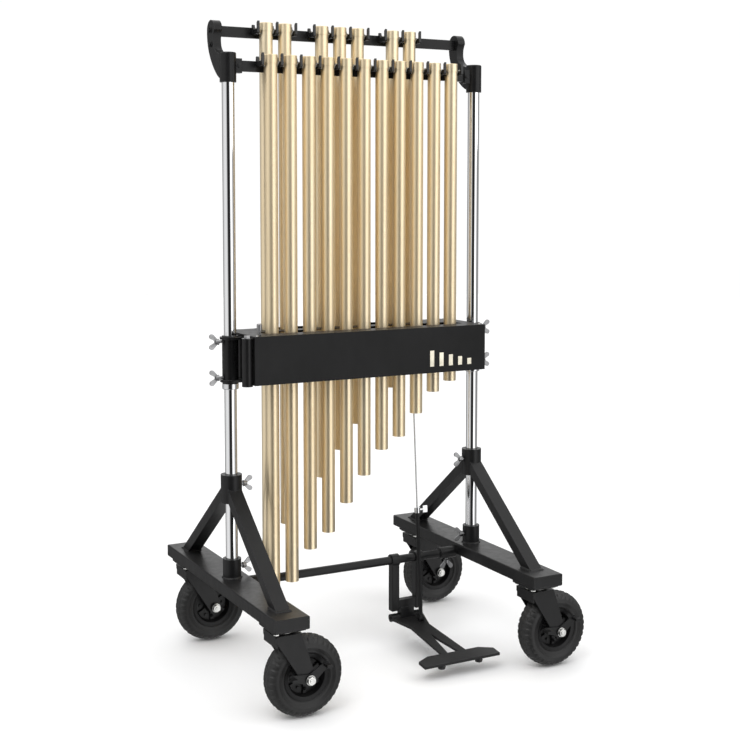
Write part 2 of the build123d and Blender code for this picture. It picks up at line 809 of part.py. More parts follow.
# The damper frame carries a felt strip just in front of each row, and slides forward to free the tubes.
with BuildPart() as damper_frame:
    link_x = front_slot[1] + tube_d / 2 + 12
    link_start = front_slot[0] - tube_d / 2 - 12
    bars = []
    for start, stop, y in (front_slot, rear_slot):
        felt_back = y - tube_d / 2 - felt_gap
        bars.append(felt_back - felt_thickness - damper_bar)
        with BuildSketch(Plane.XY.offset(damper_z)):
            with Locations(((start + stop) / 2, felt_back - felt_thickness / 2)):
                Rectangle(stop - start + tube_d, felt_thickness)
            with Locations(((link_start + link_x) / 2, felt_back - felt_thickness - damper_bar / 2)):
                Rectangle(link_x - link_start, damper_bar)
        extrude(amount=felt_height)
    for x in (link_start + damper_bar / 2, link_x - damper_bar / 2):
        with BuildSketch(Plane.XY.offset(damper_z)):
            with Locations((x, (bars[0] + bars[1] + damper_bar) / 2)):
                Rectangle(damper_bar, bars[1] - bars[0] + damper_bar)
        extrude(amount=felt_height)
save(damper_frame, "damper_frame")


# ---- Pedal bracket: two legs from the crossbar, a cross piece and a clevis that holds the shaft ---------------
saddle = crossbar_d + 12
with BuildPart() as pedal_bracket:
    for side in (-1, 1):
        x = leg_centre_x + side * leg_spacing / 2
        with BuildSketch(Plane.XY.offset(leg_bottom)):
            with Locations((x, crossbar_y)):
                RectangleRounded(leg_size, leg_size, 2)
        extrude(amount=crossbar_z - leg_bottom)
        with BuildSketch(Plane.YZ.offset(x)):
            with Locations((crossbar_y, crossbar_z)):
                Circle(saddle / 2)
        extrude(amount=leg_size / 2, both=True)
    with BuildSketch(Plane.XY.offset(leg_bottom + 4)):
        with Locations((leg_centre_x, crossbar_y)):
            Rectangle(leg_spacing, leg_size - 4)
    extrude(amount=28)
    with BuildSketch(Plane.YZ.offset(leg_centre_x)):
        with Locations((crossbar_y, pivot_z)):
            Circle(boss_d / 2)
        with Locations((crossbar_y, leg_bottom + 6)):
            Rectangle(boss_d - 2, 4)
        make_hull()
    extrude(amount=clevis_width / 2, both=True)
    with BuildSketch(Plane.YZ.offset(leg_centre_x)):
        with Locations((crossbar_y, pivot_z)):
            Circle(pivot_d / 2)
    extrude(amount=clevis_width / 2 + boss_length + 4, both=True)
    with BuildSketch(Plane.YZ.offset(leg_centre_x)):
        with Locations((crossbar_y, crossbar_z)):
            Circle(crossbar_d / 2)
    extrude(amount=leg_spacing, both=True, mode=Mode.SUBTRACT)
save(pedal_bracket, "pedal_bracket")


# ---- Pedal: two rear bosses, a web, two arms and a wide tread on rubber stops ------------------------------------
pedal_plane = Plane(
    origin=(leg_centre_x, crossbar_y, pivot_z), x_dir=(1, 0, 0), z_dir=(0, 0, 1)
).rotated((pedal_slope, 0, 0))
web_front = 87.0
arm_join = 148.0
tread_rear = tread_reach - tread_depth
boss_start = clevis_width / 2 + 1
boss_end = boss_start + boss_length
with BuildPart() as pedal:
    with BuildSketch(pedal_plane.offset(-pedal_thickness / 2)):
        with BuildLine():
            Polyline(
                (-boss_end, 0),
                (-boss_end, -14),
                (-31, -web_front),
                (-38, -tread_rear),
                (-tread_width / 2 + tread_taper_run, -tread_rear),
                (-tread_width / 2, -tread_rear - tread_taper),
                (-tread_width / 2, -tread_reach),
                (tread_width / 2, -tread_reach),
                (tread_width / 2, -tread_rear - tread_taper),
                (tread_width / 2 - tread_taper_run, -tread_rear),
                (42, -tread_rear),
                (33, -web_front),
                (boss_end, -14),
                (boss_end, 0),
                (boss_start, 0),
                (boss_start, -20),
                (-boss_start, -20),
                (-boss_start, 0),
                close=True,
            )
        make_face()
        with BuildLine():
            Polyline((0, -arm_join), (-18, -tread_rear), (19, -tread_rear), close=True)
        make_face(mode=Mode.SUBTRACT)
    extrude(amount=pedal_thickness)
    for side in (-1, 1):
        with BuildSketch(Plane.YZ.offset(leg_centre_x + side * boss_start)):
            with Locations((crossbar_y, pivot_z)):
                Circle(boss_d / 2)
        extrude(amount=side * boss_length)
    with BuildSketch(pedal_plane.offset(pedal_thickness / 2)):
        with Locations((rod_x - leg_centre_x - 7, rod_foot_y - crossbar_y), (rod_x - leg_centre_x + 7, rod_foot_y - crossbar_y)):
            Rectangle(4, 14)
    extrude(amount=14)
    with BuildSketch(Plane.YZ.offset(rod_x)):
        with Locations((rod_foot_y, rod_foot_z - 10)):
            Circle(4.5)
    extrude(amount=12, both=True, mode=Mode.SUBTRACT)
    with BuildSketch(pedal_plane.offset(-pedal_thickness / 2)):
        with Locations((-62, -tread_reach + 14), (62, -tread_reach + 14)):
            Circle(stop_d / 2)
    extrude(amount=-stop_height, taper=6)
    with BuildSketch(Plane.YZ.offset(leg_centre_x)):
        with Locations((crossbar_y, pivot_z)):
            Circle(pivot_d / 2 + running_gap)
    extrude(amount=boss_end + 1, both=True, mode=Mode.SUBTRACT)
save(pedal, "pedal")


# ---- Push tube, its clamp and the pull rod ---------------------------------------------------------------------------
rod_plane = Plane(origin=(rod_x, rod_foot_y, rod_foot_z), x_dir=(1, 0, 0), z_dir=(0, 0, 1)).rotated((-rod_tilt, 0, 0))
with BuildPart() as push_tube:
    with BuildSketch(rod_plane):
        Circle(push_tube_d / 2)
    extrude(amount=push_tube_length)
    with BuildSketch(rod_plane.offset(20)):
        Circle(push_tube_bore / 2)
    extrude(amount=push_tube_length, mode=Mode.SUBTRACT)
    with BuildSketch(Plane.YZ.offset(rod_x)):
        with Locations((rod_foot_y, rod_foot_z - 10)):
            Circle(6)
        with Locations((rod_foot_y, rod_foot_z + 2)):
            Rectangle(10, 4)
        make_hull()
    extrude(amount=4, both=True)
    with BuildSketch(Plane.YZ.offset(rod_x)):
        with Locations((rod_foot_y, rod_foot_z - 10)):
            Circle(2.5)
    extrude(amount=11, both=True)
save(push_tube, "push_tube")

clamp_plane = rod_plane.offset(push_tube_length)
with BuildPart() as rod_clamp:
    with BuildSketch(clamp_plane):
        Circle(9)
        Circle(pull_rod_d / 2 + slip, mode=Mode.SUBTRACT)
    extrude(amount=16)
    screw_start = clamp_plane.offset(8)
    with BuildSketch(Plane(origin=screw_start.origin, x_dir=screw_start.y_dir, z_dir=(1, 0, 0)).offset(5)):
        Circle(3)
    extrude(amount=16)
    with BuildSketch(Plane(origin=screw_start.origin, x_dir=screw_start.y_dir, z_dir=(1, 0, 0)).offset(20)):
        RectangleRounded(5, 22, 2)
    extrude(amount=14)
save(rod_clamp, "rod_clamp")

with BuildPart() as pull_rod:
    with BuildSketch(rod_plane.offset(pull_rod_start)):
        Circle(pull_rod_d / 2)
    extrude(amount=pull_rod_length)
    with BuildSketch(rod_plane.offset(pull_rod_start + pull_rod_length - 20)):
        Circle(4.5)
    extrude(amount=16)
save(pull_rod, "pull_rod")
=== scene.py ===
import math

import bmesh
import bpy
from mathutils import Matrix, Vector


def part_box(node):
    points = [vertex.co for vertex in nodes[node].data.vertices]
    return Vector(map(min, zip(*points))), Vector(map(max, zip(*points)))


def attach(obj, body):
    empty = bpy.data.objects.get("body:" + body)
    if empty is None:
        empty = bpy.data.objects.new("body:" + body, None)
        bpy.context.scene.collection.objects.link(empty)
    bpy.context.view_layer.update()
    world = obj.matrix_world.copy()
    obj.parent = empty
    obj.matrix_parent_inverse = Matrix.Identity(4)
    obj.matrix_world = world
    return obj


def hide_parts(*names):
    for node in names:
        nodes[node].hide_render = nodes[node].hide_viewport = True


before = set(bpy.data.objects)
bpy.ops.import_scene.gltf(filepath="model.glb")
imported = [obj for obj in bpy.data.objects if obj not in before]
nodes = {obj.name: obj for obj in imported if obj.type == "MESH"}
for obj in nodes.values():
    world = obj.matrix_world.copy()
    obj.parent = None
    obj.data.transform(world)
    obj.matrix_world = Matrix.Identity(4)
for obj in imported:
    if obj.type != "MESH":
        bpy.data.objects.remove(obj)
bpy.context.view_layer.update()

collection = bpy.context.scene.collection
SPOTS = ("front_left", "front_right", "rear_left", "rear_right")
materials = {}

# The colour sockets of a Mix node go by index, because its three data types share their names.
MIX_A, MIX_B, MIX_RESULT = 6, 7, 2
# Colour that black paint takes on upward-facing surfaces, in patches.
UPWARD_TONE = (0.05, 0.049, 0.047)
# Painted highlight along the edges of black paint, broken up like rubbed wear.
EDGE_HIGHLIGHT_AND_WEAR = (0.07, 0.07, 0.073)


# ---- Procedural materials ------------------------------------------------------------------------

class Shade:
    """A material with its Principled shader and a few short ways to add nodes to it."""

    def __init__(self, name, colour, metallic=0.0, roughness=0.5, **sockets):
        self.material = bpy.data.materials.new(name)
        self.material.use_nodes = True
        self.tree = self.material.node_tree
        self.shader = self.tree.nodes["Principled BSDF"]
        self.shader.inputs["Base Color"].default_value = (*colour, 1)
        self.shader.inputs["Metallic"].default_value = metallic
        self.shader.inputs["Roughness"].default_value = roughness
        for socket, value in sockets.items():
            self.shader.inputs[socket.replace("_", " ")].default_value = value
        self.coords = self.tree.nodes.new("ShaderNodeTexCoord")
        materials[name] = self.material

    def link(self, a, b):
        self.tree.links.new(a, b)

    def stretched(self, kind, stretch, **inputs):
        """A texture node in the object's own coordinates, scaled along each axis."""
        mapping = self.tree.nodes.new("ShaderNodeMapping")
        mapping.inputs["Scale"].default_value = stretch
        node = self.tree.nodes.new(kind)
        for socket, value in inputs.items():
            node.inputs[socket].default_value = value
        self.link(self.coords.outputs["Object"], mapping.inputs["Vector"])
        self.link(mapping.outputs["Vector"], node.inputs["Vector"])
        return node

    def noise(self, stretch, scale, detail, rough=0.5, distortion=0.0):
        node = self.stretched(
            "ShaderNodeTexNoise", stretch,
            Scale=scale, Detail=detail, Roughness=rough, Distortion=distortion,
        )
        return node.outputs["Fac"]

    def wave(self, stretch, scale, distortion, direction):
        node = self.stretched(
            "ShaderNodeTexWave", stretch, Scale=scale, Distortion=distortion, Detail=1.0
        )
        node.bands_direction = direction
        return node.outputs["Fac"]

    def cells(self, scale):
        node = self.tree.nodes.new("ShaderNodeTexVoronoi")
        node.inputs["Scale"].default_value = scale
        self.link(self.coords.outputs["Object"], node.inputs["Vector"])
        return node.outputs["Distance"]

    def ramp(self, factor, *stops):
        node = self.tree.nodes.new("ShaderNodeValToRGB")
        elements = node.color_ramp.elements
        while len(elements) < len(stops):
            elements.new(0.5)
        for element, (position, colour) in zip(elements, stops):
            element.position = position
            element.color = (*colour, 1)
        self.link(factor, node.inputs["Fac"])
        return node.outputs["Color"]

    def span(self, factor, low, high, start=0.3, stop=0.7):
        node = self.tree.nodes.new("ShaderNodeMapRange")
        node.inputs["From Min"].default_value = start
        node.inputs["From Max"].default_value = stop
        node.inputs["To Min"].default_value = low
        node.inputs["To Max"].default_value = high
        self.link(factor, node.inputs["Value"])
        return node.outputs["Result"]

    def mix(self, factor, a, b):
        node = self.tree.nodes.new("ShaderNodeMix")
        node.data_type = "RGBA"
        self.link(factor, node.inputs["Factor"])
        for socket, value in ((node.inputs[MIX_A], a), (node.inputs[MIX_B], b)):
            if isinstance(value, tuple):
                socket.default_value = (*value, 1)
            else:
                self.link(value, socket)
        return node.outputs[MIX_RESULT]

    def math(self, operation, a, b):
        node = self.tree.nodes.new("ShaderNodeMath")
        node.operation = operation
        self.link(a, node.inputs[0])
        self.link(b, node.inputs[1])
        return node.outputs[0]

    def edges(self, radius):
        """How far the surface turns within radius: 0 on flats, 1 on sharp edges.

        The rounded normal is kept for bump.
        """
        bevel = self.tree.nodes.new("ShaderNodeBevel")
        bevel.samples = 4
        bevel.inputs["Radius"].default_value = radius
        geometry = self.tree.nodes.new("ShaderNodeNewGeometry")
        dot = self.tree.nodes.new("ShaderNodeVectorMath")
        dot.operation = "DOT_PRODUCT"
        self.link(bevel.outputs["Normal"], dot.inputs[0])
        self.link(geometry.outputs["Normal"], dot.inputs[1])
        self.bevel = bevel.outputs["Normal"]
        return self.span(dot.outputs["Value"], 1.0, 0.0, 0.75, 0.99)

    def colour(self, socket):
        self.link(socket, self.shader.inputs["Base Color"])

    def roughness(self, socket):
        self.link(socket, self.shader.inputs["Roughness"])

    def bump(self, height, strength, distance, normal=None):
        node = self.tree.nodes.new("ShaderNodeBump")
        node.inputs["Strength"].default_value = strength
        node.inputs["Distance"].default_value = distance
        self.link(height, node.inputs["Height"])
        if normal is not None:
            self.link(normal, node.inputs["Normal"])
        self.link(node.outputs["Normal"], self.shader.inputs["Normal"])


def scaled(colour, factor):
    return tuple(factor * c for c in colour)


def brass(name, light, dark, rough):
    """Drawn and polished tube: faint lines along its length, cloudy lacquer, a little tarnish."""
    s = Shade(name, light, 1.0, 0.2)
    lines = s.noise((1, 1, 0.004), 420.0, 1.0)
    cloud = s.noise((1, 1, 0.3), 6.0, 3.0, 0.55)
    spots = s.noise((1, 1, 1), 90.0, 2.0, 0.6)
    tone = s.ramp(cloud, (0.3, light), (0.75, dark))
    worn = s.mix(s.span(spots, 0.0, 0.12, 0.6, 0.8), tone, scaled(dark, 0.8))
    s.colour(s.mix(s.span(lines, 0.0, 0.2, 0.4, 0.8), worn, scaled(dark, 0.92)))
    s.roughness(s.math("ADD", s.span(cloud, rough, rough + 0.05), s.span(spots, 0.0, 0.02)))
    s.bump(lines, 0.012, 0.00005)


def chrome(name, colour, rough):
    """Plated and polished steel, with faint clouds and long fine lines."""
    s = Shade(name, colour, 1.0, rough)
    cloud = s.noise((1, 1, 0.4), 9.0, 4.0, 0.6)
    fine = s.noise((1, 1, 0.05), 400.0, 2.0)
    s.colour(s.ramp(cloud, (0.3, colour), (0.8, scaled(colour, 0.93))))
    s.roughness(s.math("ADD", s.span(cloud, rough, rough + 0.05), s.span(fine, 0.0, 0.03)))
    s.bump(fine, 0.02, 0.0002)


def zinc(name, colour, rough):
    """Bright plated steel, a little cloudy and scratched."""
    s = Shade(name, colour, 1.0, rough)
    cells = s.cells(420.0)
    cloud = s.noise((1, 1, 1), 60.0, 4.0, 0.65)
    s.colour(s.ramp(cloud, (0.3, colour), (0.75, scaled(colour, 0.78))))
    grain = s.span(cells, rough, rough + 0.14, 0.0, 0.8)
    s.roughness(s.math("ADD", grain, s.span(cloud, 0.0, 0.1)))
    s.bump(s.noise((1, 1, 0.1), 900.0, 2.0), 0.12, 0.0001)


def paint(name, colour, rough, grain=700.0, peel=0.12, edge=0.0015, gloss=0.2):
    """Black coated metal: fine orange peel, rounded edges with a painted highlight, patchy like
    rubbed wear, lighter patches on upward faces.
    """
    coat = {"Coat_Weight": 0.3 * gloss, "Coat_Roughness": 0.16}
    s = Shade(name, colour, 0.0, rough, Specular_IOR_Level=gloss, **coat)
    cloud = s.noise((1, 1, 1), 6.0, 4.0, 0.6)
    scuff = s.noise((1, 1, 0.3), 45.0, 5.0, 0.7)
    edge_highlight_mask = s.edges(edge)
    light = tuple(1.5 * c + 0.002 for c in colour)
    tone = s.ramp(cloud, (0.3, colour), (0.75, light))
    geometry = s.tree.nodes.new("ShaderNodeNewGeometry")
    split = s.tree.nodes.new("ShaderNodeSeparateXYZ")
    s.link(geometry.outputs["Normal"], split.inputs[0])
    # Lighter on upward-facing surfaces, in scuffed patches.
    up = s.span(split.outputs["Z"], 0.0, 0.2, 0.6, 1.0)
    tone = s.mix(s.math("MULTIPLY", up, s.span(scuff, 0.2, 1.0)), tone, UPWARD_TONE)
    # Painted highlight: the edges are lightened, in scuffed patches like rubbed wear.
    s.colour(s.mix(s.math("MULTIPLY", edge_highlight_mask, s.span(scuff, 0.15, 0.9)), tone, EDGE_HIGHLIGHT_AND_WEAR))
    streaks = s.span(scuff, rough - 0.05, rough + 0.08)
    s.roughness(s.math("ADD", streaks, s.span(cloud, 0.0, 0.05)))
    s.bump(s.noise((1, 1, 1), grain, 2.0), peel, 0.00025, s.bevel)


def rubber(name):
    """Moulded black rubber with a little grit in it."""
    s = Shade(name, (0.014, 0.014, 0.015), 0.0, 0.55, Specular_IOR_Level=0.45)
    cloud = s.noise((1, 1, 1), 14.0, 4.0, 0.65)
    grit = s.noise((1, 1, 1), 420.0, 3.0, 0.6)
    tone = s.ramp(cloud, (0.3, (0.0075, 0.0075, 0.008)), (0.75, (0.014, 0.0136, 0.0132)))
    s.colour(s.mix(s.span(grit, 0.0, 0.4, 0.5, 0.75), tone, (0.026, 0.0255, 0.024)))
    s.roughness(s.span(cloud, 0.42, 0.62))
    s.bump(grit, 0.3, 0.0003)


def plastic(name, colour, rough):
    """Moulded plastic with a fine grain."""
    s = Shade(name, colour, 0.0, rough, Specular_IOR_Level=0.5)
    cloud = s.noise((1, 1, 1), 30.0, 3.0, 0.6)
    grain = s.cells(900.0)
    s.colour(s.ramp(cloud, (0.3, colour), (0.8, scaled(colour, 1.6))))
    s.roughness(s.span(cloud, rough - 0.06, rough + 0.1))
    s.bump(grain, 0.15, 0.0002)


def felt(name):
    """Pressed grey wool felt."""
    s = Shade(name, (0.07, 0.068, 0.066), 0.0, 0.95, Sheen_Weight=0.6, Sheen_Roughness=0.5)
    fibre = s.noise((1, 1, 1), 520.0, 6.0, 0.75, 1.2)
    cloud = s.noise((1, 1, 1), 22.0, 4.0, 0.6)
    tone = s.ramp(cloud, (0.3, (0.05, 0.049, 0.048)), (0.75, (0.1, 0.097, 0.094)))
    s.colour(s.mix(s.span(fibre, 0.0, 0.6, 0.45, 0.7), tone, (0.17, 0.165, 0.16)))
    s.roughness(s.span(fibre, 0.85, 1.0))
    s.bump(fibre, 0.7, 0.0006)


def nylon(name):
    """Braided white cord: slanted strands with painted shade in the valleys between them."""
    s = Shade(name, (0.75, 0.74, 0.7), 0.0, 0.6, Sheen_Weight=0.3, Sheen_Roughness=0.4)
    strands = s.wave((1, 1, 0.6), 260.0, 1.5, "DIAGONAL")
    cloud = s.noise((1, 1, 1), 90.0, 3.0, 0.6)
    tone = s.ramp(cloud, (0.3, (0.78, 0.77, 0.73)), (0.8, (0.62, 0.61, 0.57)))
    # Painted shade: the valleys between the strands are darkened.
    s.colour(s.mix(s.span(strands, 0.45, 0.0, 0.0, 0.4), tone, (0.36, 0.35, 0.33)))
    s.roughness(s.span(cloud, 0.5, 0.7))
    s.bump(strands, 0.6, 0.0005)


brass("tube_brass", (0.96, 0.83, 0.60), (0.9, 0.73, 0.47), 0.4)
chrome("post_chrome", (0.86, 0.865, 0.875), 0.035)
chrome("small_chrome", (0.72, 0.725, 0.735), 0.08)
zinc("wing_bolt_zinc", (0.33, 0.33, 0.335), 0.2)
zinc("zinc_bolt", (0.72, 0.72, 0.7), 0.24)
paint("frame_black", (0.0068, 0.0068, 0.0071), 0.34)
paint("sheet_black", (0.0062, 0.0062, 0.0064), 0.4, 900.0, 0.08, 0.0012, gloss=0.12)
paint("cast_black", (0.0052, 0.0052, 0.0054), 0.26, 260.0, 0.22, 0.0025)
paint("rail_black", (0.0075, 0.0075, 0.0078), 0.3)
paint("plate_black", (0.0072, 0.0072, 0.0075), 0.36)
paint("fork_black", (0.006, 0.006, 0.0062), 0.34)
paint("brake_black", (0.006, 0.006, 0.0062), 0.34)
paint("pedal_black", (0.0058, 0.0058, 0.006), 0.36, 420.0, 0.16)
paint("rim_steel", (0.005, 0.005, 0.0052), 0.38, 500.0, 0.12, 0.001)
rubber("tyre_rubber")
plastic("hook_plastic", (0.008, 0.008, 0.0083), 0.3)
plastic("emblem_cream", (0.62, 0.58, 0.47), 0.4)
felt("damper_felt")
nylon("cord_nylon")


# ---- Each CAD node's finish, by its name or by the last word of it -------------------------------
finish_by_ending = {
    "tyre": "tyre_rubber",
    "rim": "rim_steel",
    "fork": "fork_black",
    "brake": "brake_black",
    "post": "post_chrome",
    "rail": "rail_black",
}
finish_by_name = dict(
    memory_collars="small_chrome",
    rod_clamp="small_chrome",
    pull_rod="small_chrome",
    box_fittings="wing_bolt_zinc",
    clamp_wing_bolts="wing_bolt_zinc",
    caster_bolts="zinc_bolt",
    caster_plates="plate_black",
    cords="cord_nylon",
    hooks="hook_plastic",
    damper_frame="damper_felt",
    box_front="sheet_black",
    box_rear="sheet_black",
    box_deck="sheet_black",
    box_ends="cast_black",
    left_bracket="cast_black",
    right_bracket="cast_black",
    pedal="pedal_black",
)
chimes = [name for name in nodes if name.startswith("chime_")]
finish_by_name.update(dict.fromkeys(chimes, "tube_brass"))
for name, node in nodes.items():
    ending = finish_by_ending.get(name.split("_")[-1], "frame_black")
    finish = materials[finish_by_name.get(name, ending)]
    if not node.data.materials:
        node.data.materials.append(finish)
    for index in range(len(node.data.materials)):
        node.data.materials[index] = finish


# ---- Mesh pieces ---------------------------------------------------------------------------------

UP = (0, 0, 1)
SUNK = 0.0002  # how far a screw head or a ring sits into the surface under it


def piece(name, mesh, body, slot, smooth=30.0):
    """A finished bmesh becomes an object that rides on a body."""
    bmesh.ops.recalc_face_normals(mesh, faces=mesh.faces)
    data = bpy.data.meshes.new(name)
    mesh.to_mesh(data)
    mesh.free()
    data.polygons.foreach_set("use_smooth", [True] * len(data.polygons))
    data.set_sharp_from_angle(angle=math.radians(smooth))
    data.materials.append(materials[slot])
    obj = bpy.data.objects.new(name, data)
    collection.objects.link(obj)
    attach(obj, body)
    return obj


def frame_at(origin, axis):
    """A matrix whose Z runs along axis, at origin."""
    turn = Vector(UP).rotation_difference(Vector(axis))
    return Matrix.Translation(origin) @ turn.to_matrix().to_4x4()


def loft(mesh, rings, closed=False):
    """Quads between rings of vertices, whose ends are capped or joined to each other."""
    for a, b in zip(rings, rings[1:] + rings[:1] if closed else rings[1:]):
        for k in range(len(a)):
            n = (k + 1) % len(a)
            mesh.faces.new((a[k], a[n], b[n], b[k]))
    if not closed:
        mesh.faces.new(rings[0][::-1])
        mesh.faces.new(rings[-1])


def lathe(mesh, profile, place, steps):
    """A closed solid of revolution about place's Z from (radius, height) points."""
    rings = []
    for radius, height in profile:
        if radius < 1e-6:
            rings.append([mesh.verts.new(place @ Vector((0, 0, height)))])
            continue
        ring = []
        for k in range(steps):
            angle = 2 * math.pi * k / steps
            point = Vector((radius * math.cos(angle), radius * math.sin(angle), height))
            ring.append(mesh.verts.new(place @ point))
        rings.append(ring)
    for a, b in zip(rings, rings[1:]):
        for k in range(steps):
            n = (k + 1) % steps
            if len(a) == 1 and len(b) > 1:
                mesh.faces.new((a[0], b[k], b[n]))
            elif len(b) == 1 and len(a) > 1:
                mesh.faces.new((a[k], b[0], a[n]))
            elif len(a) > 1:
                mesh.faces.new((a[k], b[k], b[n], a[n]))


def hexagon(mesh, place, across, height):
    """A nut or bolt head whose six corners are turned off at the top, as a real one is."""
    flat = across / 2
    steps = 24
    rings = []
    for level, limit in ((0.0, across), (0.88 * height, across), (height, 0.96 * flat)):
        ring = []
        for k in range(steps):
            angle = 2 * math.pi * k / steps
            to_flat = (angle + math.pi / 6) % (math.pi / 3) - math.pi / 6
            radius = min(flat / math.cos(to_flat), limit)
            point = Vector((radius * math.cos(angle), radius * math.sin(angle), level))
            ring.append(mesh.verts.new(place @ point))
        rings.append(ring)
    loft(mesh, rings)


def pan_head(mesh, place, radius, height):
    """A domed screw head with a round recess in its top."""
    lathe(
        mesh,
        [
            (0.0, 0.0),
            (radius, 0.0),
            (radius, height * 0.45),
            (radius * 0.82, height * 0.82),
            (radius * 0.45, height),
            (radius * 0.38, height * 0.55),
            (0.0, height * 0.5),
        ],
        place,
        24,
    )


def slab(mesh, low, high, bevel):
    """A box between two corners with rounded edges."""
    made = bmesh.ops.create_cube(mesh, size=1.0)["verts"]
    size = Vector(high) - Vector(low)
    centre = (Vector(high) + Vector(low)) / 2
    for v in made:
        v.co = Vector((v.co.x * size.x, v.co.y * size.y, v.co.z * size.z)) + centre
    edges = list({e for v in made for e in v.link_edges})
    bmesh.ops.bevel(mesh, geom=edges, offset=bevel, segments=2, profile=0.5, affect="EDGES")


# ---- Tyres: carcass, side ribs and a cut tread ---------------------------------------------------

CROWN = 26         # the profile's last point, at the middle of the tread
TREAD_FROM = 14    # the first point that the tread's cuts reach
TYRE_STEPS = 216   # 36 blocks of six steps
# along a rim's rib: distance from the axle, half width at the foot, height of its top
RIB_STATIONS = ((0.0215, 0.0085, 0.0105), (0.034, 0.0055, 0.0115), (0.0475, 0.0075, 0.0105))
BOLT_CIRCLE = 0.036
RACE_OFFSET = 0.058  # along X, from a wheel's axle to its swivel's axis
NUT_HEIGHT = 0.0082
# round sections as (radius, height) points
VALVE = [(0.0, 0.0), (0.0028, 0.0), (0.0028, 0.009), (0.0034, 0.0095), (0.0034, 0.016), (0.0, 0.0165)]
WASHER = [(0.0, -0.0006), (0.0135, -0.0006), (0.0135, 0.0006), (0.0129, 0.001), (0.0, 0.001)]
RACE_SEAL = [
    (0.0295, -0.0035), (0.0322, -0.0035), (0.0333, -0.0022), (0.0333, -0.0012), (0.0322, -SUNK),
    (0.0295, -SUNK), (0.0295, -0.0035),
]


def tyre_profile(radius, seat, half):
    """Half of the outer section from the bead to the tread's middle, as (radius, offset) points."""
    centre = seat + (radius - seat) / 2 - 0.002
    tall = radius - centre
    points = []
    for k in range(CROWN + 1):
        angle = math.radians(-52 + 142 * k / CROWN)
        r = centre + tall * math.sin(angle)
        y = half * math.cos(angle)
        rib = 0.0
        if k in (3, 4, 9):
            rib = 0.0011
        if k == 6:
            rib = -0.0008
        points.append((r + rib * math.sin(angle), y + rib * math.cos(angle), k))
    return points


def tread_cut(k, j, y):
    """How deep the tread is cut at profile point k and step j round the tyre, at offset y."""
    if k < TREAD_FROM:
        return 0.0
    if k == CROWN and j % 6 in (2, 3):
        return 0.0016
    block = (j + (2 if y > 0 else 0)) % 6
    if k in (24, 25) and abs(y) > 0.002:
        return 0.0022
    if k in (20, 21):
        return 0.0006 if block in (1, 2) else 0.0022
    if k <= 19:
        return 0.0024 if block in (0, 5) else 0.0
    return 0.0014 if block == 3 else 0.0


